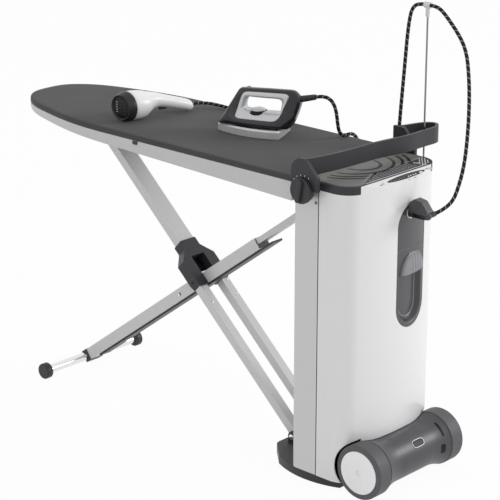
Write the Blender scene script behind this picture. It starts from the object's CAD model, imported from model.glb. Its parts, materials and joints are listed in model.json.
"""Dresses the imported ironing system: finishes, hoses, padded cover, trim, light and camera."""

import json
import math

import bmesh
import bpy
import numpy as np
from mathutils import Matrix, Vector


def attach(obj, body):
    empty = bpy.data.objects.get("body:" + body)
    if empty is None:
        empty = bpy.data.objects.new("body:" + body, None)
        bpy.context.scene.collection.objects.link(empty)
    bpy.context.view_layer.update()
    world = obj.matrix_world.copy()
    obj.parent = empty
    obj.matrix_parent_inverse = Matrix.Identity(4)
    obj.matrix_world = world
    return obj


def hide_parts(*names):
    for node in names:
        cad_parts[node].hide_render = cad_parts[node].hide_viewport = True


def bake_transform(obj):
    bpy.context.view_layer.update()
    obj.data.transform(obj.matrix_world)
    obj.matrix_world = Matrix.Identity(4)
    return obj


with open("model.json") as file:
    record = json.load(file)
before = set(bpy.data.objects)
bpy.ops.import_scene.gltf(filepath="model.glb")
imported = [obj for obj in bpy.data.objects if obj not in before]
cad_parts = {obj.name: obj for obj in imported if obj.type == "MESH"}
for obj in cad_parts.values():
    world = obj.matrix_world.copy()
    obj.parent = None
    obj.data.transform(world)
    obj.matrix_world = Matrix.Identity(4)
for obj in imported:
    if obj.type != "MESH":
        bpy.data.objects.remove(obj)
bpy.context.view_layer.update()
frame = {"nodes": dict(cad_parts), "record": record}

MM = 0.001

# Camera, found from the photograph's own lines
CAMERA_TARGET = (-0.3192, 0, 0.5201)
CAMERA_PLACE = (3.1636, -3.7142, 2.2420)
CAMERA_LENS = 138.6
SENSOR_WIDTH = 36

# Colours, linear red, green and blue
WHITE = (0.76, 0.76, 0.765)
LIGHT_GREY = (0.57, 0.565, 0.575)
MID_GREY = (0.20, 0.20, 0.21)
OLIVE_GREY = (0.165, 0.165, 0.155)
DARK_GREY = (0.032, 0.031, 0.036)
BLACK = (0.006, 0.006, 0.007)
ALUMINIUM = (0.58, 0.575, 0.585)
LEG_SILVER = (0.60, 0.60, 0.605)
CHROME = (0.78, 0.79, 0.80)
ROD_GREY = (0.24, 0.24, 0.245)
STEEL = (0.55, 0.555, 0.56)
FABRIC_GREY = (0.062, 0.062, 0.065)
INLAY_GREY = (0.060, 0.060, 0.065)
GRIP_GREY = (0.24, 0.24, 0.26)
BARREL_GREY = (0.044, 0.045, 0.053)
TYRE_GREY = (0.095, 0.096, 0.102)
SATIN_SILVER = (0.60, 0.605, 0.615)
CLEAN_WHITE = (0.9, 0.9, 0.905)
PLUG_GREY = (0.06, 0.06, 0.065)
IRON_BLACK = (0.014, 0.014, 0.018)
BRAID_BLACK = (0.012, 0.012, 0.014)
THREAD_GREY = (0.5, 0.5, 0.51)

# Noise: the ranges of its value in use, and its scales on metres for grain, drawn lines and slow changes
NOISE_RANGE = (0.3, 0.7)
LINE_RANGE = (0.35, 0.65)
GRAIN_SCALE = 900
LINE_SCALE = 700
BROAD_SCALE = 14
# Depths of relief, in metres
GRAIN_DEPTH = 0.0002
LINE_DEPTH = 0.00005
THREAD_DEPTH = 0.0003
BRAID_DEPTH = 0.0004
# Length of one band of a wave texture at scale 1
WAVE_PERIOD = 0.314
# Share of the hose's winding that the light thread covers
THREAD_SHARE = 0.09

# Meshes: distance at which places merge, least edge, angles in degrees over which an edge is sharp
MERGE_DISTANCE = 1e-6
LEAST_EDGE = 1e-7
SHARP_ANGLE = 40
CAD_SHARP_ANGLE = 22
# Steps round a thin bead
BEAD_AROUND = 10

# Front of the tank, in the tower's curved face, and the rise over which its grip changes colour
TANK_FRONT_X = 219
TANK_FRONT_RADIUS = 449
GRIP_TURN = (2, 8)


def new_material(name):
    """A new node material, its tree and its Principled shader."""
    material = bpy.data.materials.new(name)
    material.use_nodes = True
    tree = material.node_tree
    return material, tree, tree.nodes["Principled BSDF"]


def set_inputs(node, values):
    """Sets a node's plain values by name."""
    for name, value in values.items():
        node.inputs[name].default_value = value


def coordinates(tree, kind="Object"):
    """The three parts of a piece's own coordinates, or of its own map."""
    coords = tree.nodes.new("ShaderNodeTexCoord")
    parts = tree.nodes.new("ShaderNodeSeparateXYZ")
    tree.links.new(coords.outputs[kind], parts.inputs["Vector"])
    return parts.outputs


def object_noise(tree, scale, detail=4.0, stretch=(1, 1, 1)):
    """A noise value on the object's own coordinates, stretched along the axes."""
    coords = tree.nodes.new("ShaderNodeTexCoord")
    mapping = tree.nodes.new("ShaderNodeMapping")
    noise = tree.nodes.new("ShaderNodeTexNoise")
    set_inputs(mapping, {"Scale": stretch})
    set_inputs(noise, {"Scale": scale, "Detail": detail})
    tree.links.new(coords.outputs["Object"], mapping.inputs["Vector"])
    tree.links.new(mapping.outputs["Vector"], noise.inputs["Vector"])
    return noise.outputs["Fac"]


def ramp(tree, source, from_range, to_range):
    """Maps a value from one range to another."""
    node = tree.nodes.new("ShaderNodeMapRange")
    set_inputs(node, dict(zip(("From Min", "From Max", "To Min", "To Max"), (*from_range, *to_range))))
    tree.links.new(source, node.inputs["Value"])
    return node.outputs["Result"]


def combine(tree, operation, first, second):
    """One value from two, each of them a socket or a number."""
    node = tree.nodes.new("ShaderNodeMath")
    node.operation = operation
    for socket, value in zip(node.inputs, (first, second)):
        if isinstance(value, (int, float)):
            socket.default_value = value
        else:
            tree.links.new(value, socket)
    return node.outputs["Value"]


def tint(tree, source, first, second):
    """A colour between two, by a value from 0 to 1."""
    mix = tree.nodes.new("ShaderNodeMix")
    mix.data_type = "RGBA"
    set_inputs(mix, {"A": (*first, 1), "B": (*second, 1)})
    tree.links.new(source, mix.inputs["Factor"])
    return mix.outputs["Result"]


def bump(tree, shader, source, strength, distance):
    """Raises the surface by a value."""
    node = tree.nodes.new("ShaderNodeBump")
    set_inputs(node, {"Strength": strength, "Distance": distance})
    tree.links.new(source, node.inputs["Height"])
    tree.links.new(node.outputs["Normal"], shader.inputs["Normal"])


def scaled(colour, share):
    """A colour made lighter or darker."""
    return tuple(min(1, value * share) for value in colour)


def varied(tree, source, colour, share, source_range=NOISE_RANGE):
    """A colour that goes a share darker and lighter with a noise value."""
    spread = ramp(tree, source, source_range, (0, 1))
    return tint(tree, spread, scaled(colour, 1 - share), scaled(colour, 1 + share))


def set_gloss(tree, shader, source, rough, share):
    """Roughness that goes a share down and up with a noise value."""
    gloss = ramp(tree, source, NOISE_RANGE, (rough * (1 - share), rough * (1 + share)))
    tree.links.new(gloss, shader.inputs["Roughness"])


def plastic(
    name, colour, rough, grain=GRAIN_SCALE, relief=0.08, coat=0.0, metallic=0.0, vary=0.04, specular=0.35
):
    """Moulded plastic: a fine grain, and slow changes of colour and gloss."""
    material, tree, shader = new_material(name)
    fine = object_noise(tree, grain)
    broad = object_noise(tree, BROAD_SCALE)
    tree.links.new(varied(tree, broad, colour, vary), shader.inputs["Base Color"])
    set_gloss(tree, shader, broad, rough, 2 * vary)
    set_inputs(shader, {
        "Metallic": metallic, "Specular IOR Level": specular, "Coat Weight": coat, "Coat Roughness": 0.06,
    })
    bump(tree, shader, fine, relief, GRAIN_DEPTH)
    return material


def drawn_metal(name, colour, rough, stretch, relief=0.03, contrast=0.04, metallic=1.0):
    """Metal with fine lines along one direction."""
    material, tree, shader = new_material(name)
    lines = object_noise(tree, LINE_SCALE, detail=3, stretch=stretch)
    tree.links.new(varied(tree, lines, colour, contrast, LINE_RANGE), shader.inputs["Base Color"])
    set_gloss(tree, shader, lines, rough, 0.1)
    set_inputs(shader, {"Metallic": metallic})
    bump(tree, shader, lines, relief, LINE_DEPTH)
    return material


def woven(name, colour, pitch, rough=0.9):
    """Woven cloth: two crossing thread waves, slow changes of colour and a soft sheen."""
    material, tree, shader = new_material(name)
    coords = tree.nodes.new("ShaderNodeTexCoord")
    waves = []
    for axis in ("X", "Y"):
        wave = tree.nodes.new("ShaderNodeTexWave")
        wave.bands_direction = axis
        set_inputs(wave, {"Scale": WAVE_PERIOD / pitch, "Distortion": 0.6, "Detail Scale": 3})
        tree.links.new(coords.outputs["Object"], wave.inputs["Vector"])
        waves.append(wave.outputs["Fac"])
    cross = combine(tree, "MULTIPLY", *waves)
    broad = object_noise(tree, 9, detail=6)
    threads = tree.nodes.new("ShaderNodeMix")
    threads.data_type = "RGBA"
    threads.blend_type = "MULTIPLY"
    threads.inputs["Factor"].default_value = 0.3
    tree.links.new(varied(tree, broad, colour, 0.1), threads.inputs["A"])
    tree.links.new(tint(tree, cross, (0.6, 0.6, 0.6), (1, 1, 1)), threads.inputs["B"])
    tree.links.new(threads.outputs["Result"], shader.inputs["Base Color"])
    set_inputs(shader, {
        "Roughness": rough, "Specular IOR Level": 0.3, "Sheen Weight": 0.12, "Sheen Roughness": 0.5,
    })
    bump(tree, shader, cross, 0.3, THREAD_DEPTH)
    return material


def braided(name, colour, thread, pitch):
    """A braided hose sleeve with a light thread wound round it.

    Its own map holds the length along the hose, in metres, and the share of the way round.
    """
    material, tree, shader = new_material(name)
    length, around, _ = coordinates(tree, "UV")
    along = combine(tree, "MULTIPLY", length, 1 / pitch)
    winding = combine(tree, "FRACT", combine(tree, "ADD", along, around), 0)
    light = combine(tree, "LESS_THAN", winding, THREAD_SHARE)
    tree.links.new(tint(tree, light, colour, thread), shader.inputs["Base Color"])
    set_inputs(shader, {"Roughness": 0.75, "Specular IOR Level": 0.25})
    bump(tree, shader, object_noise(tree, 1400), 0.5, BRAID_DEPTH)
    return material


def by_height(name, low_colour, high_colour, height, rough):
    """Moulded plastic in one colour below a height and in another above it."""
    material, tree, shader = new_material(name)
    above = combine(tree, "GREATER_THAN", coordinates(tree)["Z"], height)
    tree.links.new(tint(tree, above, low_colour, high_colour), shader.inputs["Base Color"])
    fine = object_noise(tree, GRAIN_SCALE)
    set_gloss(tree, shader, fine, rough, 0.1)
    bump(tree, shader, fine, 0.06, GRAIN_DEPTH)
    return material


def by_bulge(name, flat_colour, raised_colour, rough):
    """Gloss plastic that turns to a lighter satin finish where the tank's front stands out of its curve.

    The curve is x = front - y * y / (2 * radius), in metres.
    """
    material, tree, shader = new_material(name)
    x, y, _ = coordinates(tree)
    drop = combine(tree, "MULTIPLY", combine(tree, "MULTIPLY", y, y), 0.5 / (TANK_FRONT_RADIUS * MM))
    standing = combine(tree, "ADD", x, drop)
    turn = [(TANK_FRONT_X + rise) * MM for rise in GRIP_TURN]
    raised = ramp(tree, standing, turn, (0, 1))
    tree.links.new(tint(tree, raised, flat_colour, raised_colour), shader.inputs["Base Color"])
    tree.links.new(ramp(tree, raised, (0, 1), (rough, rough * 2)), shader.inputs["Roughness"])
    set_inputs(shader, {"Coat Weight": 0.05, "Coat Roughness": 0.2})
    bump(tree, shader, object_noise(tree, GRAIN_SCALE), 0.02, GRAIN_DEPTH)
    return material


def clear_window(name, colour):
    """A dark display window under a clear coat."""
    material, tree, shader = new_material(name)
    spread = ramp(tree, object_noise(tree, 30), NOISE_RANGE, (0, 1))
    tree.links.new(tint(tree, spread, colour, scaled(colour, 1.6)), shader.inputs["Base Color"])
    set_inputs(shader, {"Roughness": 0.08, "Coat Weight": 0.3, "Coat Roughness": 0.03})
    return material


# How far the noise is stretched into lines along an axis
ALONG_Y = (1, 0.02, 1)
ALONG_Z = (1, 1, 0.01)
SHORT_ALONG_Z = (1, 1, 0.03)
ALONG_LEGS = (0.05, 1, 0.05)

# Finishes by the material slots of the record
finishes = {
    "white_shell": plastic(
        "white_shell_finish", WHITE, 0.22, relief=0.005, coat=0.3, vary=0.004, specular=0.5
    ),
    "light_tray": plastic("light_tray_finish", LIGHT_GREY, 0.38, vary=0.02),
    "dark_plastic": plastic("dark_plastic_finish", DARK_GREY, 0.42, relief=0.12),
    "olive_plastic": plastic("olive_plastic_finish", OLIVE_GREY, 0.5),
    "black_plastic": plastic("black_plastic_finish", BLACK, 0.3, relief=0.02, specular=0.4),
    "display_glass": clear_window("display_finish", BLACK),
    "aluminium": drawn_metal(
        "aluminium_finish", ALUMINIUM, 0.42, ALONG_Z, relief=0.01, contrast=0.012, metallic=0.6
    ),
    "chrome": drawn_metal("chrome_finish", CHROME, 0.1, ALONG_Y, relief=0.005, contrast=0.02),
    "brushed_steel": drawn_metal("brushed_steel_finish", STEEL, 0.3, SHORT_ALONG_Z, contrast=0.16),
    "sheet_steel": plastic("sheet_steel_finish", MID_GREY, 0.4),
    "cover_fabric": woven("cover_finish", FABRIC_GREY, 0.0016),
    "tyre_rubber": plastic("tyre_finish", TYRE_GREY, 0.55, grain=500, relief=0.2),
    "hub_white": plastic("hub_finish", CLEAN_WHITE, 0.3, relief=0.03, vary=0.01),
    "inlay_grey": plastic("inlay_finish", INLAY_GREY, 0.14, relief=0.01, coat=0.25, vary=0.02),
    "hose_braid": braided("hose_finish", BRAID_BLACK, THREAD_GREY, 0.0165),
    "button_grey": plastic("button_finish", LIGHT_GREY, 0.35),
}

# Finishes of single nodes and of the scene's own pieces
leg_finish = drawn_metal(
    "leg_metal_finish", LEG_SILVER, 0.42, ALONG_LEGS, relief=0.01, contrast=0.015, metallic=0.15
)
barrel_finish = plastic(
    "barrel_finish", BARREL_GREY, 0.42, relief=0.01, coat=0.03, vary=0.01, specular=0.6
)
silver_finish = plastic("iron_panel_finish", SATIN_SILVER, 0.34, relief=0.02, metallic=0.4, vary=0.01)
iron_finish = plastic("iron_body_finish", IRON_BLACK, 0.28, relief=0.02, coat=0.25, vary=0.02)
rod_finish = drawn_metal("rod_finish", ROD_GREY, 0.25, ALONG_Z, relief=0.005, contrast=0.03)
dark_trim = plastic("dark_trim_finish", BLACK, 0.4, specular=0.22)
light_trim = plastic("light_trim_finish", WHITE, 0.35)
grey_trim = plastic("grey_trim_finish", scaled(MID_GREY, 1.1), 0.4)
ring_finish = plastic("steamer_ring_finish", scaled(DARK_GREY, 0.7), 0.4, relief=0.05, specular=0.3)
steamer_white = plastic("steamer_white_finish", CLEAN_WHITE, 0.3, relief=0.01, coat=0.1, vary=0.005)
plug_finish = plastic("plug_finish", PLUG_GREY, 0.35, relief=0.05)
sole_finish = drawn_metal(
    "sole_finish", SATIN_SILVER, 0.3, SHORT_ALONG_Z, relief=0.01, contrast=0.08, metallic=0.35
)
bead_finish = plastic("bead_finish", scaled(GRIP_GREY, 1.1), 0.35)
vent_trim = plastic("vent_trim_finish", scaled(LIGHT_GREY, 0.75), 0.4)
groove_finish = plastic("groove_finish", scaled(BLACK, 1.3), 0.5)
tank_finish = by_bulge("tank_front_finish", INLAY_GREY, GRIP_GREY, 0.28)
fittings_finish = by_height("rod_fittings_finish", DARK_GREY, scaled(WHITE, 0.9), 1.0, 0.35)


def paint(node, material):
    """Gives one CAD node its finish."""
    piece = frame["nodes"][node]
    piece.data.materials.clear()
    piece.data.materials.append(material)


OWN_FINISHES = {
    "main_leg_tube": leg_finish,
    "lower_bars": leg_finish,
    "support_leg_outer": leg_finish,
    "support_leg_inner": leg_finish,
    "axle_housing": barrel_finish,
    "rod_fittings": fittings_finish,
    "iron_sole": sole_finish,
    "steam_plug": plug_finish,
    "crossing_pin": dark_trim,
}
for part in frame["record"]["subparts"]:
    paint(part["node"], OWN_FINISHES.get(part["node"], finishes[part["material_slot"]]))


def mesh_places(mesh):
    """The places of a mesh, one row each, in metres."""
    places = np.empty(len(mesh.vertices) * 3)
    mesh.vertices.foreach_get("co", places)
    return places.reshape(-1, 3)


def grid_faces(rows, columns, closed_round):
    """The four corners of each cell of a grid of places, its last column joined to its first if closed."""
    index = np.arange(rows * columns).reshape(rows, columns)
    after = np.roll(index, -1, axis=1)
    if not closed_round:
        index, after = index[:, :-1], after[:, :-1]
    return np.stack([index[:-1], after[:-1], after[1:], index[1:]], axis=-1).reshape(-1, 4)


def place_mesh(name, mesh, finish):
    """A piece in the scene from its mesh."""
    mesh.materials.append(finish)
    piece = bpy.data.objects.new(name, mesh)
    bpy.context.scene.collection.objects.link(piece)
    return piece


def mend(mesh, merge=False, fill=False):
    """Merges a mesh's doubles, fills its holes and turns its faces outwards."""
    work = bmesh.new()
    work.from_mesh(mesh)
    if merge:
        bmesh.ops.remove_doubles(work, verts=work.verts, dist=MERGE_DISTANCE)
        bmesh.ops.dissolve_degenerate(work, edges=work.edges, dist=LEAST_EDGE)
    if fill:
        bmesh.ops.holes_fill(work, edges=[edge for edge in work.edges if edge.is_boundary])
    bmesh.ops.recalc_face_normals(work, faces=work.faces)
    work.to_mesh(mesh)
    work.free()


def smooth(mesh, angle=180):
    """Rounds the shading of a mesh, all but the edges sharper than an angle in degrees."""
    mesh.polygons.foreach_set("use_smooth", np.ones(len(mesh.polygons), dtype=bool))
    if angle < 180:
        mesh.set_sharp_from_angle(angle=math.radians(angle))


for piece in frame["nodes"].values():
    smooth(piece.data, CAD_SHARP_ANGLE)


def surface(name, places, finish, closed_round=True):
    """A piece from one or more grids of places, in metres.

    The last three axes of the array are the rows, the columns round them, and x, y and z.
    """
    grids = places.reshape(-1, *places.shape[-3:])
    count, rows, columns = grids.shape[:3]
    starts = np.arange(count)[:, None, None] * rows * columns
    faces = grid_faces(rows, columns, closed_round)[None] + starts
    mesh = bpy.data.meshes.new(name)
    mesh.from_pydata(grids.reshape(-1, 3).tolist(), [], faces.reshape(-1, 4).tolist())
    mend(mesh, merge=True)
    smooth(mesh, SHARP_ANGLE)
    return place_mesh(name, mesh, finish)


def unit(vector):
    """A vector, or each of an array's vectors, at length one."""
    vector = np.asarray(vector, dtype=float)
    return vector / np.linalg.norm(vector, axis=-1, keepdims=True)


def signed_power(value, power):
    """A power that keeps the sign."""
    return np.sign(value) * np.abs(value) ** power


def closed(rows):
    """Rows of places with the first row again at the end."""
    return np.concatenate([rows, rows[:1]])


def raised(flat, height):
    """Flat rings of x and y, each with its height."""
    return np.concatenate([flat, np.broadcast_to(height[..., None], (*flat.shape[:2], 1))], axis=2)


def rings(centers, first, second, reach, around):
    """Rings round centers: place = center + r * (cos t * first + sin t * second)."""
    angle = np.linspace(0, 2 * math.pi, around, endpoint=False)[:, None]
    first, second = (np.asarray(value, dtype=float)[..., None, :] for value in (first, second))
    ring = np.cos(angle) * first + np.sin(angle) * second
    return np.asarray(centers)[..., None, :] + np.asarray(reach)[..., None, None] * ring


def even_outline(corners, count, passes):
    """A closed outline at equal steps from its corners, softened a number of times over."""
    loop = closed(corners)
    length = np.concatenate([[0], np.cumsum(np.linalg.norm(np.diff(loop, axis=0), axis=1))])
    steps = np.linspace(0, length[-1], count, endpoint=False)
    points = np.stack([np.interp(steps, length, loop[:, axis]) for axis in (0, 1)], axis=1)
    for _ in range(passes):
        points = (np.roll(points, 1, axis=0) + 2 * points + np.roll(points, -1, axis=0)) / 4
    return points


def inward_of(outline, step):
    """Unit vectors square to an anticlockwise outline that point into it."""
    run = unit(np.roll(outline, -step, axis=0) - np.roll(outline, step, axis=0))
    return np.stack([-run[:, 1], run[:, 0]], axis=1)


def node_rim(node, level_of, depth, count):
    """A CAD node's outline at equal steps, anticlockwise, and the height at which it is read.

    level_of picks that height from the node's places: the least or the greatest.
    """
    places = mesh_places(frame["nodes"][node].data) / MM
    level = level_of(places[:, 2])
    rim = np.unique(places[np.abs(places[:, 2] - level) < depth][:, :2].round(3), axis=0)
    middle = (rim.max(axis=0) + rim.min(axis=0)) / 2
    rim = rim[np.argsort(np.arctan2(rim[:, 1] - middle[1], rim[:, 0] - middle[0]))]
    return even_outline(rim, count, 0), level


def square_to(axis):
    """Two unit vectors square to an axis and to each other."""
    axis = unit(axis)
    helper = (0, 0, 1.0) if abs(axis[2]) < 0.9 else (1.0, 0, 0)
    side = unit(np.cross(helper, axis))
    return side, np.cross(axis, side)


def turned(name, profile, origin, axis, finish, around=48):
    """A turned piece: place = origin + axis * s + r * (cos t * side + sin t * up), for each (s, r)."""
    along, reach = np.asarray(profile, dtype=float).T
    centers = np.asarray(origin) + along[:, None] * unit(axis)
    return surface(name, rings(centers, *square_to(axis), reach, around) * MM, finish)


# Foot to crown of a low stud: share of the outline, share of the height
STUD_STEPS = np.array([(1, -0.4), (1, 0.55), (0.95, 0.85), (0.84, 1), (0.4, 1.04), (0, 1.05)])


def studs(name, centers, along, across, size, height, finish, power=2.4, around=24):
    """Low studs: rings of |a|^p + |b|^p = 1 times the half size, drawn in and raised from foot to crown."""
    centers = np.asarray(centers, dtype=float).reshape(-1, 3)
    angle = np.linspace(0, 2 * math.pi, around, endpoint=False)
    a = signed_power(np.cos(angle), 2 / power) * size[0] / 2
    b = signed_power(np.sin(angle), 2 / power) * size[1] / 2
    outline = a[:, None] * unit(along) + b[:, None] * unit(across)
    rise = np.cross(unit(along), unit(across)) * height
    steps = STUD_STEPS[:, :1, None] * outline[None] + STUD_STEPS[:, 1:, None] * rise
    return surface(name, (centers[:, None, None, :] + steps[None]) * MM, finish)


def face_towards(piece, direction):
    """Turns a sheet's faces over if they look away from a direction."""
    normals = np.empty(len(piece.data.polygons) * 3)
    piece.data.polygons.foreach_get("normal", normals)
    if normals.reshape(-1, 3).mean(axis=0) @ np.asarray(direction, dtype=float) < 0:
        piece.data.flip_normals()


def thicken(piece, thickness, direction=None):
    """Gives a sheet its thickness, behind the side that shows."""
    if direction is not None:
        face_towards(piece, direction)
    wall = piece.modifiers.new("wall", "SOLIDIFY")
    wall.thickness = thickness * MM
    wall.offset = -1
    return piece


def carry(body, slot, *pieces):
    """Gives pieces their material slot and the body that carries them."""
    for piece in pieces:
        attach(piece, body)


def place_camera():
    """The photograph's viewpoint."""
    data = bpy.data.cameras.new("camera")
    data.lens = CAMERA_LENS
    data.sensor_width = SENSOR_WIDTH
    camera = bpy.data.objects.new("camera", data)
    bpy.context.scene.collection.objects.link(camera)
    camera.location = CAMERA_PLACE
    look = Vector(CAMERA_TARGET) - Vector(CAMERA_PLACE)
    camera.rotation_euler = look.to_track_quat("-Z", "Y").to_euler()
    bpy.context.scene.camera = camera


place_camera()

UP = Vector((0, 0, 1))

# Hoses: their radii, and the routes of their tubes. A hose between two bodies bends from its place at the
# tower's end or the steamer's to its place at the board's end
HOSE_RADIUS = 5
STEAMER_HOSE_RADIUS = 4.5
CLIP_Z = 1235.5
CLIP_FRONT = (107.4, 236, CLIP_Z)
CLIP_BACK = (89.4, 236, CLIP_Z)
TOWER_HOSE_ROUTE = [
    (129, 236, 1235.5), (152, 233.2, 1224), (178.6, 229, 1203.2), (206, 224, 1180),
    (230.5, 218, 1156), (249, 211, 1127), (262.2, 202, 1092), (274.5, 192, 1048),
    (286, 179, 995), (295.8, 164, 943), (303.5, 148, 889), (306.5, 134, 845),
    (306, 117, 804), (304, 99.5, 772),
]
PLUG_TAIL = Vector((276, 33, 740))
PLUG_TAIL_RUN = Vector((0.35, 0.9, 0.25)).normalized()
PLUG_TAIL_LENGTH = 22
LOOP_TOWER_END = (33, 242, 1186)
LOOP_BOARD_END = (-129, 230.5, 830)
LOOP_ROUTE = [
    (64.4, 236, 1235.5), (43, 239, 1218), LOOP_TOWER_END, (26.5, 243, 1140), (20.5, 244.4, 1075),
    (13.9, 246, 1007), (6.7, 248, 938), (2, 249.5, 885), (-4, 251.2, 833), (-10, 253, 780),
    (-18, 254.5, 728), (-30, 255.5, 688), (-49, 256, 662), (-75, 255, 656), (-99, 252, 671),
    (-115, 247, 703), (-123, 241.5, 747), (-127.5, 237, 795), (-128.4, 234.4, 817.9),
    LOOP_BOARD_END, (-129.5, 223, 840.2), (-129.8, 212.8, 847.7), (-130, 200.7, 851.6),
]
LOOP_END = (-130, 188, 851.6)
LEAD_STRAIGHT = 6.5
LEAD_BOARD_END = (-129.6, 168.7, 853.6)
LEAD_ROUTE = [
    LEAD_BOARD_END, (-128.6, 157.6, 860.2), (-127.4, 149.7, 870.5), (-126.4, 144.7, 882.5),
    (-126, 141.6, 895.1), (-126.3, 139.6, 908), (-127.6, 138.3, 920.9), (-130.3, 137.1, 933.6),
    (-135, 135.5, 945.7), (-142.5, 133, 956), (-152.9, 128.9, 962.5), (-164.6, 123.7, 964.4),
]
STEAMER_STRAIGHT = 25
STEAMER_BOARD_END = (-560, 176.5, 851.8)
STEAMER_HOSE_ROUTE = [(-622, 149, 862), (-598, 169, 855.5), STEAMER_BOARD_END, (-512, 174.6, 850.8)]


def smooth_line(name, points):
    """The line of one smooth NURBS spline through a route's points, in metres."""
    curve = bpy.data.curves.new(name, "CURVE")
    curve.dimensions = "3D"
    curve.resolution_u = 8
    spline = curve.splines.new("NURBS")
    spline.points.add(len(points) - 1)
    knots = np.column_stack([np.array([tuple(point) for point in points]) * MM, np.ones(len(points))])
    spline.points.foreach_set("co", knots.reshape(-1))
    spline.order_u = 3
    spline.use_endpoint_u = True
    guide = bpy.data.objects.new(name, curve)
    line = mesh_places(bpy.data.meshes.new_from_object(guide))
    bpy.data.objects.remove(guide)
    return line


def tube(name, line, radius, around=14):
    """A hose along a line of places: place = line + r * (cos t * side + sin t * up), closed at both ends.

    side is square to the line and to the direction that the line leaves least, so the map isn't twisted.
    Its map holds the length along the hose and the share of the way round.
    """
    run = unit(np.gradient(line, axis=0))
    least = np.linalg.svd(run, full_matrices=False)[2][-1]
    side = unit(np.cross(run, least))
    up = np.cross(run, side)
    line, side, up = (np.vstack([rows[:1], rows, rows[-1:]]) for rows in (line, side, up))
    reach = np.full(len(line), radius * MM)
    reach[[0, -1]] *= 0.02
    places = rings(line, side, up, reach, around)
    rows = len(line)
    faces = grid_faces(rows, around, True)
    ends = [list(range(around)), list(range(rows * around - 1, (rows - 1) * around - 1, -1))]
    mesh = bpy.data.meshes.new(name)
    mesh.from_pydata(places.reshape(-1, 3).tolist(), [], faces.tolist() + ends)
    length = np.concatenate([[0], np.cumsum(np.linalg.norm(np.diff(line, axis=0), axis=1))])
    row, column = np.divmod(np.arange((rows - 1) * around), around)
    along = np.stack([length[row], length[row], length[row + 1], length[row + 1]], axis=1)
    across = np.stack([column, column + 1, column + 1, column], axis=1) / around
    own = np.concatenate([np.stack([along, across], axis=-1).reshape(-1), np.zeros(4 * around)])
    mesh.uv_layers.new(name="hose_map").data.foreach_set("uv", own)
    smooth(mesh)
    mend(mesh)
    piece = place_mesh(name, mesh, finishes["hose_braid"])
    return piece


plug_end = PLUG_TAIL + PLUG_TAIL_RUN * PLUG_TAIL_LENGTH
plug_lead = plug_end + PLUG_TAIL_RUN * PLUG_TAIL_LENGTH
tower_line = smooth_line("tower_hose_line", [CLIP_FRONT, *TOWER_HOSE_ROUTE, plug_lead, plug_end])
tower_hose = tube("braided_tower_hose", tower_line, HOSE_RADIUS)
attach(tower_hose, "tower")
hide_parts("tower_hose")

loop_line = smooth_line("loop_hose_line", [CLIP_BACK, *LOOP_ROUTE, LOOP_END])
loop_hose = tube("braided_loop_hose", loop_line, HOSE_RADIUS)
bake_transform(loop_hose)
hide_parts("iron_hose_loop")

# Iron: where it stands and which way it points; its sizes are measured from its heel
IRON_HEEL = Vector((-260, 77, 846.3))
IRON_HEADING = math.radians(203.95)
IRON_FORWARD = Vector((math.cos(IRON_HEADING), math.sin(IRON_HEADING), 0))
IRON_LEFT = Vector((-math.sin(IRON_HEADING), math.cos(IRON_HEADING), 0))
RELIEF_RUN = Vector((0.87, 0.45, 0.2)).normalized()
RELIEF_LENGTH = 52


def on_iron(along, height):
    """A place in the iron's middle plane, by its distance from the heel towards the tip and its height."""
    return IRON_HEEL + IRON_FORWARD * along + UP * height


RELIEF_START = on_iron(-36, 105)
relief_end = RELIEF_START + RELIEF_RUN * RELIEF_LENGTH
lead_first = (LOOP_END[0], LOOP_END[1] - LEAD_STRAIGHT, LOOP_END[2])
lead_last = relief_end + RELIEF_RUN * LEAD_STRAIGHT
lead_line = smooth_line("lead_hose_line", [LOOP_END, lead_first, *LEAD_ROUTE, lead_last, relief_end])
lead_hose = tube("braided_lead_hose", lead_line, HOSE_RADIUS)
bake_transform(lead_hose)
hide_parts("iron_hose_lead")

# Hand steamer: where it lies, its handle's direction, and the coil of its hose behind the iron
BOARD_TOP = 846
STEAMER_HEADING = math.radians(75.5)
STEAMER_RUN = Vector((math.cos(STEAMER_HEADING), math.sin(STEAMER_HEADING), 0))
STEAMER_FACE = Vector((-697, -120, BOARD_TOP))
STEAMER_LENGTH = 218
STEAMER_TAIL_RISE = 20
steamer_tail = STEAMER_FACE + STEAMER_RUN * STEAMER_LENGTH + UP * STEAMER_TAIL_RISE
COIL_X = -425
COIL_Y = 130
COIL_START_RADIUS = 44.6
COIL_GAP = 0.6
COIL_REST_GAP = 0.3
COIL_INWARD_TURNS = 3
COIL_OUTWARD_TURNS = 4
COIL_TAIL = 50
COIL_LEAD_IN = 45
COIL_POINTS = 6
coil_low = BOARD_TOP + COIL_REST_GAP + STEAMER_HOSE_RADIUS
coil_layer = 2 * STEAMER_HOSE_RADIUS + COIL_GAP


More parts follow.
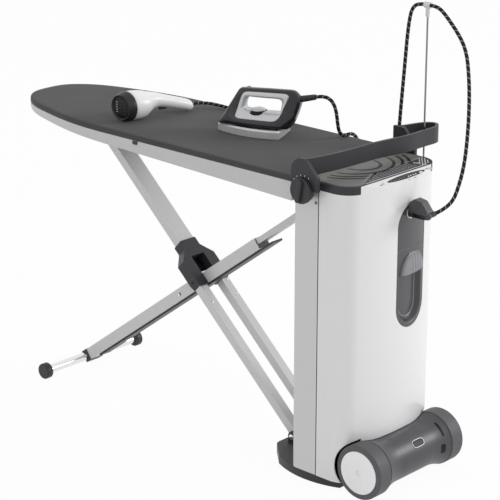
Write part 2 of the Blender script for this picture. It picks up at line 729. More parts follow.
def coil_route():
    """Points round the coil, 12 a turn: inwards on the lower layer, outwards on the upper one.

    Each half turn is a circle's half of radius r_k = r_0 -+ k * layer / 2, so the turns lie side by side.
    """
    radii = [COIL_START_RADIUS - turn * coil_layer / 2 for turn in range(COIL_INWARD_TURNS + 1)]
    radii += [radii[-1] + turn * coil_layer / 2 for turn in range(1, COIL_OUTWARD_TURNS + 1)]
    angle = math.pi * (np.arange(COIL_POINTS) + 0.5) / COIL_POINTS
    share = (1 - np.cos(angle)) / 2
    y, z, side = COIL_Y + COIL_START_RADIUS, coil_low, -1
    route = [np.array([(COIL_X - COIL_LEAD_IN, y, z), (COIL_X - COIL_LEAD_IN / 2, y, z)])]
    for index, radius in enumerate(radii):
        rise = coil_layer if index == COIL_INWARD_TURNS else 0
        reach = side * radius / math.cos(math.pi / COIL_POINTS / 2)
        center_y = y + side * radius
        route.append(np.stack(
            [COIL_X - reach * np.sin(angle), center_y - reach * np.cos(angle), z + rise * share], axis=1
        ))
        y += side * 2 * radius
        z += rise
        side = -side
    route.append(np.array([(COIL_X + COIL_TAIL / 2, y, z), (COIL_X + COIL_TAIL, y, z)]))
    return np.concatenate(route)


coil_entry = (COIL_X - COIL_LEAD_IN, COIL_Y + COIL_START_RADIUS, coil_low)
steamer_first = steamer_tail + STEAMER_RUN * STEAMER_STRAIGHT
steamer_points = [steamer_tail, steamer_first, *STEAMER_HOSE_ROUTE, coil_entry]
steamer_line = smooth_line("steamer_hose_line", steamer_points)
steamer_hose = tube("braided_steamer_hose", steamer_line, STEAMER_HOSE_RADIUS)
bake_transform(steamer_hose)
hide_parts("steamer_hose_lead")

coil_line = smooth_line("coil_hose_line", coil_route())
coil_hose = tube("braided_coil_hose", coil_line, STEAMER_HOSE_RADIUS)
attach(coil_hose, "head")
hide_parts("steamer_hose_coil")

# Padded cover: rings from its hem under the panel, round the edge and in to the middle line,
# each with its distance inwards and its height
COVER_SAMPLES = 420
COVER_RIM_DEPTH = 0.2
COVER_CROWN = 846.1
COVER_EDGE = np.array([
    (9, 831.15), (4, 831.1), (1.6, 831.4), (0.5, 832.4), (0, 834.4), (0, 837.2), (0.25, 839.6),
    (1, 841.9), (2.3, 843.7), (4.3, 845), (7.2, 845.75), (11, 846.05), (16, COVER_CROWN), (24, COVER_CROWN),
])
COVER_MIDDLE_SHARES = np.linspace(0.06, 0.985, 14)
COVER_NOSE_SHARE = 0.16
COVER_HEEL_MARGIN = 90
# Puckers along the hem: how many, share of the depth, shift; the height where they end and how fast
PUCKER_WAVES = [(97, 1, 0), (61, 0.6, 1), (143, 0.4, 2)]
PUCKER_DEPTH = 0.45
PUCKER_TOP = 841
PUCKER_FADE = 8
# Soft swells of the top: height, and length along x and y
SWELL_HEIGHT = 0.08
SWELL_LENGTHS = (47, 39)


def padded_cover():
    """The pad: the outline drawn in square to itself round the edge, then towards the board's middle line.

    The hem's puckers are small waves along the edge that fade out by the top.
    """
    outline, _ = node_rim("board_cover", np.min, COVER_RIM_DEPTH, COVER_SAMPLES)
    low_x, high_x = outline[:, 0].min(), outline[:, 0].max()
    nose_x = low_x + COVER_NOSE_SHARE * (high_x - low_x)
    anchor_x = np.clip(outline[:, 0], nose_x, high_x - COVER_HEEL_MARGIN)
    anchor = np.stack([anchor_x, np.zeros(COVER_SAMPLES)], axis=1)
    inset, height = COVER_EDGE.T[..., None]
    phase = np.arange(COVER_SAMPLES) * 2 * math.pi / COVER_SAMPLES
    pucker = sum(share * np.sin(phase * count + shift) for count, share, shift in PUCKER_WAVES) / 2
    fade = np.clip((PUCKER_TOP - height) / PUCKER_FADE, 0, 1)
    drawn = inset + PUCKER_DEPTH * fade * (1 + pucker)
    around_edge = outline + drawn[..., None] * inward_of(outline, 2)
    last = around_edge[-1]
    inner = last + COVER_MIDDLE_SHARES[:, None, None] * (anchor - last)
    swell_x, swell_y = (np.sin(inner[..., axis:axis + 1] / SWELL_LENGTHS[axis]) for axis in (0, 1))
    top = np.concatenate([inner, COVER_CROWN + SWELL_HEIGHT * swell_x * swell_y], axis=2)
    places = np.concatenate([raised(around_edge, height), top])
    piece = surface("padded_cover", places * MM, finishes["cover_fabric"])
    mend(piece.data, fill=True)
    return piece


cover = padded_cover()
carry("head", "cover_fabric", cover)
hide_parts("board_cover")

# Iron: one closed loop of a body round its handle window, and a light panel round the window.
# Outlines seen from its side: distance from the heel towards the tip, height
IRON_OUTER = np.array([
    (-14, 23), (192, 22), (189, 28), (179, 43), (159.5, 76), (142.5, 104), (131.5, 122), (127, 126.5),
    (117, 127.5), (48, 129.5), (-20, 130.5), (-31, 128), (-41, 118), (-48, 106), (-47, 92), (-40, 70),
    (-30, 46), (-21, 29),
])
IRON_WINDOW = np.array([
    (12, 65), (64, 65.5), (108, 69), (114, 75), (108, 100), (103, 105), (12, 104), (5, 99), (8, 72),
])
IRON_PANEL = np.array([
    (136, 50), (126, 88), (118, 113), (109, 119.5), (-9, 121.5), (-18.5, 116), (-3, 84), (7, 57),
    (15, 48.5), (26, 46), (75, 46.5), (127, 47),
])
# Half widths of the flank by height
FLANK_HEIGHTS = [22, 30, 44, 58, 70, 92, 110, 122, 130]
FLANK_WIDTHS = [49.5, 48.5, 41, 29.5, 22.5, 19, 17.5, 15, 11]
# The plan: half width and reach of its pointed front, and half width, start and length of its rear
PLAN_HALF = 52
PLAN_REACH = 199
PLAN_POWER = 2.15
PLAN_LEAST = 0.0004
REAR_HALF = 31
REAR_START = -30
REAR_LENGTH = 45
WIDTH_BLEND = 6.0
WINDOW_CENTER = np.array((62, 80))
LOOP_STEPS = 220
SECTION_STEPS = 72
SECTION_POWER = 3.6
PANEL_STEPS = 49
PANEL_PROUD = 0.9
PANEL_THICKNESS = 1.5

# Steps and softening passes of the outlines
OUTER_STEPS = (600, 12)
INNER_STEPS = (400, 60)

outer_edge = even_outline(IRON_OUTER, *OUTER_STEPS)
window_edge = even_outline(IRON_WINDOW, *INNER_STEPS)
panel_edge = even_outline(IRON_PANEL, *INNER_STEPS)


def reach_of(outline, angle):
    """An outline's distance from the window's middle, at given angles."""
    spread = outline - WINDOW_CENTER
    turn = np.arctan2(spread[:, 1], spread[:, 0])
    order = np.argsort(turn)
    reach = np.linalg.norm(spread, axis=1)
    return np.interp(angle, turn[order], reach[order], period=2 * math.pi)


def body_width(u, height):
    """Half width: the lesser of the flank's, by height, and the plan's, by length, blended softly.

    The plan is half * (1 - (u / reach)^p)^0.5 in front, and grows by a smooth step behind.
    """
    flank = np.interp(height, FLANK_HEIGHTS, FLANK_WIDTHS)
    fore = PLAN_HALF * np.sqrt(np.clip(1 - np.clip(u / PLAN_REACH, 0, 1) ** PLAN_POWER, PLAN_LEAST, 1))
    share = np.clip((u - REAR_START) / REAR_LENGTH, 0, 1)
    rear = REAR_HALF + (PLAN_HALF - REAR_HALF) * share**2 * (3 - 2 * share)
    plan = np.minimum(fore, rear)
    return (flank**-WIDTH_BLEND + plan**-WIDTH_BLEND) ** (-1 / WIDTH_BLEND)


def iron_place(u, left, height):
    """Places on the iron from arrays of the distance from its heel towards its tip, to its left, and up."""
    heel, forward, aside = (np.array(value) for value in (IRON_HEEL, IRON_FORWARD, IRON_LEFT))
    return heel + u[..., None] * forward + left[..., None] * aside + height[..., None] * np.array(UP)


def iron_loop(turn, section, grow):
    """Places on the loop: window edge + share * (outer edge - window edge), left = half width * side.

    share = (1 - c) / 2 and side = s, with c and s the cosine and sine of the section's angle, each to the
    power 2/p.
    """
    inner = reach_of(window_edge, turn) - grow
    outer = reach_of(outer_edge, turn) + grow
    share = (1 - signed_power(np.cos(section), 2 / SECTION_POWER)) / 2
    reach = inner + share * (outer - inner)
    u = WINDOW_CENTER[0] + reach * np.cos(turn)
    height = WINDOW_CENTER[1] + reach * np.sin(turn)
    left = (body_width(u, height) + grow) * signed_power(np.sin(section), 2 / SECTION_POWER)
    return iron_place(u, left, height) * MM


# Skirt round the sole: rings with their distance inwards and their rise, and how it leans back at the tip
SKIRT_RINGS = np.array([(0.6, -1.5), (0.4, 0), (2.8, 4.2), (3.6, 4.8), (4.6, 4.9), (6, 4.4), (6, -1.5)])
SKIRT_STEPS = 240
SOLE_RIM_DEPTH = 0.1
SKIRT_LEAN = 4.5
SKIRT_LEAN_RISE = 4.2
SKIRT_LEAN_REACH = 200


def sole_skirt():
    """The skirt: the rim drawn in and raised ring by ring, then leant back by lean * (u / reach)^4."""
    rim, low = node_rim("iron_sole", np.max, SOLE_RIM_DEPTH, SKIRT_STEPS)
    inset, rise = SKIRT_RINGS.T[..., None]
    places = raised(rim + inset[..., None] * inward_of(rim, 1), low + rise)
    u = (places - np.array(IRON_HEEL)) @ np.array(IRON_FORWARD)
    risen = np.clip((places[..., 2] - low) / SKIRT_LEAN_RISE, 0, 1)
    lean = SKIRT_LEAN * np.clip(u / SKIRT_LEAN_REACH, 0, 1) ** 4 * risen
    leant = places - lean[..., None] * np.array(IRON_FORWARD)
    return surface("sole_skirt", closed(leant) * MM, sole_finish)


carry("iron", "brushed_steel", sole_skirt())

loop_outline = even_outline(IRON_OUTER, LOOP_STEPS, 1) - WINDOW_CENTER
loop_turn = np.arctan2(loop_outline[:, 1], loop_outline[:, 0])[:, None]
loop_section = np.linspace(0, 2 * math.pi, SECTION_STEPS, endpoint=False)[None, :]
iron_shell = surface("iron_loop_body", closed(iron_loop(loop_turn, loop_section, 0)), iron_finish)
carry("iron", "black_plastic", iron_shell)
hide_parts("iron_body")

panel_inner = reach_of(window_edge, loop_turn)
panel_outer = reach_of(outer_edge, loop_turn)
panel_reach = reach_of(panel_edge, loop_turn)
panel_share = (panel_reach - panel_inner) / (panel_outer - panel_inner)
panel_limit = np.arccos(signed_power(1 - 2 * panel_share, SECTION_POWER / 2))
panel_section = np.linspace(-1, 1, PANEL_STEPS)[None, :] * panel_limit
panel_places = iron_loop(loop_turn, panel_section, PANEL_PROUD)
iron_panel = surface("iron_window_panel", closed(panel_places), silver_finish, closed_round=False)
carry("iron", "brushed_steel", thicken(iron_panel, PANEL_THICKNESS))

# Iron's dial in its seat, its steam button's cap, and its hose relief: turned profiles of (along, reach)
DIAL_PROFILE = [(0.8, 0), (0.8, 20), (3.4, 20), (4.8, 19), (5.8, 16), (6.4, 10), (6.6, 0)]
SEAT_PROFILE = [
    (-10, 12), (-9, 27), (-7, 30), (-4.4, 30.4), (-0.6, 25.5), (0.4, 23.5), (0.2, 18.6), (-3, 18.2),
]
STEAM_CAP_PROFILE = [(-4, 6), (0.6, 6.6), (5, 6.6), (6.6, 5.4), (7.2, 3), (7.3, 0)]
RELIEF_RIBS = 11
RELIEF_INSET = 3
RELIEF_REACH = 9.4
RELIEF_TAPER = 1.8
RELIEF_RIB_DEPTH = 0.55
RELIEF_HOLE = 5.05

dial_place = on_iron(77, 66)
dial_cap = turned("iron_dial_cap", DIAL_PROFILE, dial_place, UP, silver_finish, around=64)
mark_place = dial_place - IRON_LEFT * 11 + UP * 6.1
dial_mark = studs("iron_dial_mark", mark_place, IRON_LEFT, -IRON_FORWARD, (9, 2), 0.6, dark_trim)
carry("iron_dial", "button_grey", dial_cap, dial_mark)
dial_seat = turned("iron_dial_seat", SEAT_PROFILE, dial_place, UP, dark_trim, around=72)
carry("iron", "black_plastic", dial_seat)

steam_cap = turned("iron_steam_cap", STEAM_CAP_PROFILE, on_iron(104, 124), UP, grey_trim, around=32)
carry("iron_steam_button", "button_grey", steam_cap)

relief_share = np.linspace(0, 1, RELIEF_RIBS * 8 + 1)
relief_rib = RELIEF_RIB_DEPTH * np.sin(relief_share * RELIEF_RIBS * 2 * math.pi)
relief_profile = np.vstack([
    [(RELIEF_INSET, 4)],
    np.stack([
        RELIEF_INSET + (RELIEF_LENGTH - RELIEF_INSET) * relief_share,
        RELIEF_REACH - RELIEF_TAPER * relief_share + relief_rib,
    ], axis=1),
    [(RELIEF_LENGTH, RELIEF_HOLE)],
])
relief_sleeve = turned(
    "ribbed_hose_relief", relief_profile, RELIEF_START, RELIEF_RUN, finishes["dark_plastic"], around=40
)
carry("iron", "black_plastic", relief_sleeve)

# Steamer: its head looks a little to the side of its handle's line
STEAMER_SIDE = STEAMER_RUN.cross(UP)
HEAD_TURN = math.radians(15.5)
HEAD_RUN = STEAMER_RUN * math.cos(HEAD_TURN) - STEAMER_SIDE * math.sin(HEAD_TURN)
HEAD_SIDE = HEAD_RUN.cross(UP)
HEAD_FACE = STEAMER_FACE - STEAMER_RUN * 14.5 + STEAMER_SIDE * 10.7 + UP * 43.4
# Stations of its body: distance along, distance aside, height, radius, turn in degrees
STEAMER_STATIONS = np.array([
    (9.6, 4, 43.4, 0, 15.5), (9.6, 4, 43.4, 41.8, 15.5), (26, 1.5, 43.2, 42.3, 12), (45, 0.3, 42.4, 41.3, 7),
    (60, 0, 42.2, 38.9, 3), (72, 0, 43.4, 34.8, 1), (87, 0, 48.6, 26.8, 0), (103, 0, 49.4, 21.6, 0),
    (120, 0, 45.6, 19.3, 0), (153, 0, 36.3, 18.4, 0), (186, 0, 26.9, 18, 0), (208, 0, 20.4, 17.2, 0),
    (218, 0, 17.6, 15, 0), (224, 0, 16, 11, 0), (226.5, 0, 15.4, 5, 0), (227, 0, 15.2, 0, 0),
])
STEAMER_STEPS = 151
STEAMER_PASSES = 40
STEAMER_AROUND = 56
HEAD_STEPS = 12
RING_PROFILE = [
    (4, 0), (4, 31), (0.8, 33), (0, 34.4), (0.4, 36), (8, 38.8), (18, 41.6), (25, 43), (26.5, 42.6),
    (26.5, 38), (12, 0),
]
PLATE_DEPTH = 3
PLATE_PROFILE = [(3.5, 0), (2.8, 28), (3.4, 30.4), (3.5, 30.6), (3.8, 30.6), (3.8, 0)]


def steamer_rows():
    """The stations at even steps, softened, all but the first steps round the flat front."""
    station = np.arange(len(STEAMER_STATIONS))
    steps = np.linspace(0, station[-1], STEAMER_STEPS)
    rows = np.stack([np.interp(steps, station, column) for column in STEAMER_STATIONS.T], axis=1)
    front = rows[:HEAD_STEPS].copy()
    for _ in range(STEAMER_PASSES):
        rows[1:-1] = (rows[:-2] + 2 * rows[1:-1] + rows[2:]) / 4
    rows[:HEAD_STEPS] = front
    return rows


def steamer_places(along, aside, height):
    """Places on the steamer from arrays of the distance along its handle, to its side, and up."""
    face, run, side = (np.array(value) for value in (STEAMER_FACE, STEAMER_RUN, STEAMER_SIDE))
    return face + along[..., None] * run + aside[..., None] * side + height[..., None] * np.array(UP)


def steamer_shell(rows):
    """The body: round sections, place = center + r * (cos t * side + sin t * up), along the stations."""
    along, aside, height, radius, turn = rows.T
    tilt = np.radians(turn)[:, None]
    outward = np.cos(tilt) * np.array(STEAMER_SIDE) + np.sin(tilt) * np.array(STEAMER_RUN)
    places = rings(steamer_places(along, aside, height), outward, UP, radius, STEAMER_AROUND)
    return surface("steamer_shell", places * MM, steamer_white)


shell_rows = steamer_rows()
steamer_body = steamer_shell(shell_rows)
carry("steamer", "white_shell", steamer_body)
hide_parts("steamer_body")
steamer_ring = turned("steamer_head_ring", RING_PROFILE, HEAD_FACE, HEAD_RUN, ring_finish, around=96)
carry("steamer", "black_plastic", steamer_ring)
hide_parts("steamer_ring")
face_plate = turned("steamer_face_plate", PLATE_PROFILE, HEAD_FACE, HEAD_RUN, dark_trim, around=72)
carry("steamer", "black_plastic", face_plate)


def face_studs(name, across, rises, size, height, finish):
    """Rows of slots on the steamer's face."""
    face = HEAD_FACE + HEAD_RUN * PLATE_DEPTH
    centers = [face + HEAD_SIDE * aside + UP * rise for aside in across for rise in rises]
    return studs(name, centers, HEAD_SIDE, UP, size, height, finish)


steam_slots = face_studs("steam_slots", (-16,), (-14, -7, 0, 7, 14), (6.5, 2.6), 0.7, vent_trim)
dim_slots = face_studs(
    "dim_steam_slots", (-2, 13), (-18, -9, 0, 9, 18), (9, 2), 0.5, finishes["dark_plastic"]
)
carry("steamer", "dark_plastic", steam_slots, dim_slots)

# Dark slot on the steamer's back
BACK_SLOT_MIDDLE = 87
BACK_SLOT_HALF = 21
BACK_SLOT_HALF_WIDTH = 2.6
BACK_SLOT_LIFT = 0.4
BACK_SLOT_BEND = 60
BACK_SLOT_STEPS = (30, 7)


def back_slot(rows):
    """A narrow band along the top of the shell, with round ends: top = shell + lift - across^2 / bend."""
    share, aside = (np.linspace(-1, 1, steps) for steps in BACK_SLOT_STEPS)
    share = share[:, None]
    along = BACK_SLOT_MIDDLE + BACK_SLOT_HALF * share
    taper = np.sqrt(np.clip(1 - share**4, 0, 1))
    across = BACK_SLOT_HALF_WIDTH * aside * taper
    top = np.interp(along, rows[:, 0], rows[:, 2] + rows[:, 3]) + BACK_SLOT_LIFT - across**2 / BACK_SLOT_BEND
    places = steamer_places(along + 0 * across, across, top)
    return thicken(surface("steamer_handle_slot", places * MM, dark_trim, closed_round=False), 1, UP)


carry("steamer", "dark_plastic", back_slot(shell_rows[HEAD_STEPS:]))

# Controls on the sloping fascia: marks, and what the display shows
ALONG_WIDTH = Vector((0, 1, 0))
FASCIA_UP = Vector((-0.7593, 0, 0.6508))
DISPLAY_NORMAL = Vector((0.6508, 0, 0.7593))
DISPLAY_PLACE = Vector((208.5, 0, 833.8)) + DISPLAY_NORMAL * 1.25
MARK_PLACES = [(208.3, -76, 833.9), (204.6, 113, 837)]
DASH_PLACES = [(215, 29.8, 828.2), (215, 53.6, 828.2)]


def fascia_studs(name, centers, size, height, finish):
    """Low keys or marks on the slope."""
    return studs(name, centers, ALONG_WIDTH, FASCIA_UP, size, height, finish)


def display_row(*offsets):
    """Places on the display at distances from its middle."""
    return [DISPLAY_PLACE + ALONG_WIDTH * offset for offset in offsets]


carry(
    "tower", "button_grey",
    fascia_studs("fascia_marks", MARK_PLACES, (10, 3.4), 0.5, grey_trim),
    fascia_studs("fascia_dashes", DASH_PLACES, (9, 1.8), 0.35, grey_trim),
    fascia_studs("lit_display_dashes", display_row(33, 42, 53, 62), (5.5, 3), 0.25, light_trim),
    fascia_studs("dim_display_dashes", display_row(-38, -28, -18, -6, 4, 14), (4, 2), 0.2, grey_trim),
    fascia_studs("display_key", display_row(84), (15, 6.4), 0.6, finishes["button_grey"]),
)

# Iron rest: olive plate with dark curved grooves, in the pocket of the cap
CAP_TOP = 842
POCKET_RADIUS = 443.5
POCKET_BACK = 230
POCKET_CORNER_X = 139.8
POCKET_CORNER_Y = 124
POCKET_CORNER_RADIUS = 53.5
POCKET_BOW_HALF = 141
REST_LEFT = 49.5
REST_HALF = 177
REST_RISE = 1.2
REST_STEPS = (119, 12)
# Right edge beside the vent strip, by y
REST_RIGHT_Y = [-200, -124, -28, 200]
REST_RIGHT_X = [191, 191, 142.6, 142.6]
# Grooves: half axes along x and y, first and last angle in degrees
GROOVE_CENTER = np.array((55, 10))
GROOVES = [
    (66, 55, -80, 80), (93, 101, -80, 80), (112, 130, -81, -30), (112, 130, 34, 76),
    (129, 150, -80, -36), (129, 150, 47, 74),
]
GROOVE_HALF_WIDTH = 4.4
GROOVE_END_POWER = 16
GROOVE_RISE = 1.4
GROOVE_STEPS = (60, 5)


def cap_reach(y):
    """How far right the cap's pocket goes at each y: a round front with rounded corners."""
    bow = np.sqrt(POCKET_RADIUS**2 - y**2) - POCKET_BACK
    past = np.clip(np.abs(y) - POCKET_CORNER_Y, 0, None)
    corner = POCKET_CORNER_X + np.sqrt(np.clip(POCKET_CORNER_RADIUS**2 - past**2, 0, None))
    return np.where(np.abs(y) < POCKET_BOW_HALF, bow, corner)


def rest_sheet(name, x, y, rise, thickness, finish):
    """A level sheet over the cap from arrays of x and y."""
    places = np.stack([x, y, CAP_TOP + rise + 0 * x], axis=-1)
    return thicken(surface(name, places * MM, finish, closed_round=False), thickness, UP)


def rest_plate():
    """The plate: x = left + share * (right edge - left), the right edge by the cap and the vent strip."""
    y = np.linspace(-REST_HALF, REST_HALF, REST_STEPS[0])[:, None]
    right = np.minimum(cap_reach(y), np.interp(y, REST_RIGHT_Y, REST_RIGHT_X))
    x = REST_LEFT + np.linspace(0, 1, REST_STEPS[1])[None, :] * (right - REST_LEFT)
    return rest_sheet("olive_rest_plate", x, y + 0 * x, REST_RISE, 0.5, finishes["olive_plastic"])


def rest_groove(index, half_x, half_y, start, stop):
    """A groove: center + (a cos t, b sin t), widened square to itself and narrowed to round ends."""
    turn = np.radians(np.linspace(start, stop, GROOVE_STEPS[0]))[:, None]
    share = np.linspace(-1, 1, GROOVE_STEPS[0])[:, None]
    taper = (1 - np.abs(share) ** GROOVE_END_POWER) ** 0.5
    width = GROOVE_HALF_WIDTH * taper * np.linspace(-1, 1, GROOVE_STEPS[1])[None, :]
    square = unit(np.stack([half_y * np.cos(turn), half_x * np.sin(turn)], axis=-1))
    x = GROOVE_CENTER[0] + half_x * np.cos(turn) + width * square[..., 0]
    y = GROOVE_CENTER[1] + half_y * np.sin(turn) + width * square[..., 1]
    return rest_sheet("rest_groove_%d" % index, x, y, GROOVE_RISE, 0.3, groove_finish)


grooves = (rest_groove(index, *groove) for index, groove in enumerate(GROOVES))
carry("tower", "olive_plastic", rest_plate(), *grooves)

# On the cap: vent strip's rows of light dashes, the trim line beside it, perforated corner, small switch
VENT_ROWS = [150, 159, 168, 177]
VENT_START_Y = -110
VENT_STOP_Y = 108
VENT_PITCH = 13
VENT_DASH = (12.4, 1.9)
VENT_EDGE_X = 143
VENT_EDGE_Y = -18
VENT_EDGE_SLOPE = -2
CORNER_START = (136, 168, CAP_TOP)
CORNER_RUN = np.array((0.65, -0.76, 0))
CORNER_ACROSS = np.array((0.76, 0.65, 0))
CORNER_COLUMNS = 7
CORNER_ROWS = 5
CORNER_PITCH = 10.0
CORNER_ROW_PITCH = 7.2
CORNER_DASH = (7.6, 3.6)
CORNER_MARGIN = 5
SWITCH_PLACE = (163, 121, CAP_TOP)
SWITCH_PROFILE = [(0, 7.2), (0.9, 7.2), (1.1, 6.4), (0.9, 5.6), (0, 5.6), (0, 7.2)]
TOWARDS_WHEELS = (1, 0, 0)
TOWARDS_BOARD = (-1, 0, 0)


def vent_dashes():
    """Rows of dashes right of the strip's slanting edge, y = edge y + slope * (x - edge x)."""
    x, y = np.meshgrid(VENT_ROWS, np.arange(VENT_START_Y, VENT_STOP_Y, VENT_PITCH))
    kept = y > VENT_EDGE_Y + VENT_EDGE_SLOPE * (x - VENT_EDGE_X)
    places = np.stack([x[kept], y[kept], np.full(kept.sum(), CAP_TOP)], axis=1)
    return studs("vent_dashes", places, ALONG_WIDTH, TOWARDS_BOARD, VENT_DASH, 0.5, vent_trim, around=8)


def perforated_corner():
    """Staggered rows of short dashes, those that lie inside the pocket."""
    column, row = np.meshgrid(np.arange(CORNER_COLUMNS), np.arange(CORNER_ROWS))
    along = ((column + row % 2 / 2) * CORNER_PITCH).reshape(-1, 1)
    across = (row * CORNER_ROW_PITCH).reshape(-1, 1)
    places = np.array(CORNER_START) + along * CORNER_RUN + across * CORNER_ACROSS
    places = places[places[:, 0] < cap_reach(places[:, 1]) - CORNER_MARGIN]
    return studs(
        "perforated_corner", places, CORNER_RUN, CORNER_ACROSS, CORNER_DASH, 0.6, light_trim, around=8
    )


carry(
    "tower", "dark_plastic",
    vent_dashes(),
    studs(
        "fascia_edge_line", (188.4, 10, CAP_TOP), ALONG_WIDTH, TOWARDS_BOARD, (250, 2), 0.6, light_trim,
        power=12,
    ),
    perforated_corner(),
    turned("small_switch_ring", SWITCH_PROFILE, SWITCH_PLACE, UP, light_trim, around=40),
    studs("small_switch_key", SWITCH_PLACE, TOWARDS_WHEELS, ALONG_WIDTH, (9, 9), 0.8, dark_trim),
)

# Tank front: a curved skin with a ribbed grip that stands out and a finger recess below it
OVAL_Y = 45
OVAL_HALF = 62.3
OVAL_ROUND_Z = 484
TANK_TOP_Z = 643
GRIP_Y = 50
GRIP_HALF = 56
GRIP_LOW_Z = 574
GRIP_EDGE = 0.6
GRIP_RISE = 56
GRIP_PROUD = 12
GRIP_POWERS = (2.6, 1.7)
RIB_PITCH = 13
RIB_SHARE = 0.16
RIB_START_Y = 15
RIB_FADE = 20
RECESS_HALF = 53
RECESS_DEPTH = 15
RECESS_STEP = 12
FLOOR_BEAD_INSET = 14
FLOOR_BEAD_WIDTH = 1.8
FLOOR_BEAD_RISE = 2.2
SKIN_THICKNESS = 2.2
# Rows of the round foot, of the recess and of the grip, and columns
SKIN_STEPS = (44, 66, 64, 121)
# Light bead round the foot of the recess
BEAD_STEPS = 40
BEAD_SIDE_STEPS = 20
BEAD_REACH = 37
BEAD_HIGH_Z = 566
BEAD_RADIUS = 1.5
BEAD_LIFT = 0.5


def tank_curve(y):
    """The x of the tower's round front at each y."""
    return TANK_FRONT_X - TANK_FRONT_RADIUS + np.sqrt(TANK_FRONT_RADIUS**2 - y**2)


def tank_skin():
    """The skin over y and z: x = curve + grip - recess.

    The grip is (1 - |a|^p - b^q)^0.5 with a across and b up from its lower edge, thinned by upright ribs. The
    recess sinks with the distance inside a round-bottomed slot, by a smooth step, with a low bead on its
    floor.
    """
    foot_rows, recess_rows, grip_rows, columns = SKIN_STEPS
    foot_z = OVAL_ROUND_Z - OVAL_HALF * np.cos(np.linspace(0, math.pi / 2, foot_rows))
    recess_z = np.linspace(OVAL_ROUND_Z, GRIP_LOW_Z - GRIP_EDGE, recess_rows)[1:]
    z = np.concatenate([foot_z, recess_z, np.linspace(GRIP_LOW_Z, TANK_TOP_Z, grip_rows)])[:, None]
    below = np.clip(OVAL_ROUND_Z - z, 0, None)
    half = np.sqrt(np.clip(OVAL_HALF**2 - below**2, 0, None))
    y = OVAL_Y + half * np.linspace(-1, 1, columns)[None, :]
    on_grip = z > GRIP_LOW_Z - GRIP_EDGE / 2
    across = np.clip(np.abs((y - GRIP_Y) / GRIP_HALF), 0, 1)
    up = np.clip((z - GRIP_LOW_Z) / GRIP_RISE, 0, 1)
    dome = np.clip(1 - across ** GRIP_POWERS[0] - up ** GRIP_POWERS[1], 0, 1) ** 0.5 * on_grip
    rib = 0.5 + 0.5 * np.cos((y - GRIP_Y) / RIB_PITCH * 2 * math.pi)
    ribbed = np.clip((y - RIB_START_Y) / RIB_FADE, 0, 1) * (across < 0.99)
    grip = GRIP_PROUD * dome * (1 - RIB_SHARE * rib**3 * ribbed)
    inside = RECESS_HALF - np.sqrt((y - OVAL_Y) ** 2 + below**2)
    step = np.clip(inside / RECESS_STEP, 0, 1)
    floor_bead = FLOOR_BEAD_RISE * np.exp(-(((inside - FLOOR_BEAD_INSET) / FLOOR_BEAD_WIDTH) ** 2))
    sunk = RECESS_DEPTH * step**2 * (3 - 2 * step) - floor_bead
    recess = np.where(on_grip | (inside <= 0), 0, sunk)
    places = np.stack([tank_curve(y) + grip - recess, y, z + 0 * y], axis=-1)
    skin = surface("tank_front_skin", places * MM, tank_finish, closed_round=False)
    return thicken(skin, SKIN_THICKNESS, TOWARDS_WHEELS)


def recess_bead():
    """The bead: place = line + r * (cos t * out + sin t * side), along a U that ends in points."""
    turn = np.linspace(math.pi, 2 * math.pi, BEAD_STEPS)
    side_z = np.linspace(BEAD_HIGH_Z, OVAL_ROUND_Z, BEAD_SIDE_STEPS)[:-1]
    side_y = np.full(len(side_z), BEAD_REACH)
    y = OVAL_Y + np.concatenate([-side_y, BEAD_REACH * np.cos(turn), side_y])
    z = np.concatenate([side_z, OVAL_ROUND_Z + BEAD_REACH * np.sin(turn), side_z[::-1]])
    line = np.column_stack([tank_curve(y) - RECESS_DEPTH + BEAD_LIFT, y, z])
    run = unit(np.gradient(line, axis=0))
    side = unit(np.cross(run, TOWARDS_WHEELS))
    reach = np.full(len(line), BEAD_RADIUS)
    reach[[0, -1]] = 0
    places = rings(line, np.cross(side, run), side, reach, BEAD_AROUND)
    return surface("recess_bead", places * MM, bead_finish)


tank_front = tank_skin()
carry("tank", "inlay_grey", tank_front)
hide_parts("tank_front")
carry("tank", "inlay_grey", recess_bead())

# Steam plug's black sleeve and the socket's rim
PLUG_PLACE = (219, 33, 740)
SLEEVE_PROFILE = [
    (0.5, 9.5), (1, 12.4), (14, 12.4), (15, 11.6), (16, 11.6), (17, 12.2), (46, 11.4), (54, 10.6),
    (56, 9.6), (56, 8),
]
SOCKET_RIM_PROFILE = [(0.2, 13), (1.8, 13), (2.4, 14.6), (1.8, 16.2), (0.2, 16.2), (0.2, 13)]
carry(
    "tower", "black_plastic",
    turned("steam_plug_sleeve", SLEEVE_PROFILE, PLUG_PLACE, TOWARDS_WHEELS, finishes["black_plastic"]),
    turned("steam_socket_rim", SOCKET_RIM_PROFILE, PLUG_PLACE, TOWARDS_WHEELS, silver_finish),
)

# Hose rod
ROD_FOOT = (98.4, 236, 782)
ROD_PROFILE = [(0, 0), (0, 2.5), (440, 2.5), (440, 0)]
hose_rod = turned("bright_hose_rod", ROD_PROFILE, ROD_FOOT, UP, rod_finish, around=24)
carry("tower", "chrome", hose_rod)
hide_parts("hose_rod")

# Axle housing: lead outlet with its light rim, a slit and a slot. Patches: the range along y, the range of
# the angle round the axle in degrees
AXLE = np.array((235, 0, 75.5))
BARREL_REACH = 62
PATCH_STEPS = 17
PATCH_GAP = 0.35
PATCHES = {
    "lead_outlet": ((-8, 32), (31, 48)),
    "upper_slit": ((104, 112), (28, 66)),
    "lower_slot": ((93, 110), (-14, 10)),
}
RIM_STEPS = 95
RIM_POWER = 3.6
RIM_Y = (12, 21.5)
RIM_ANGLE = (39.5, 9.3)
RIM_LIFT = 0.6
RIM_RADIUS = 1.1


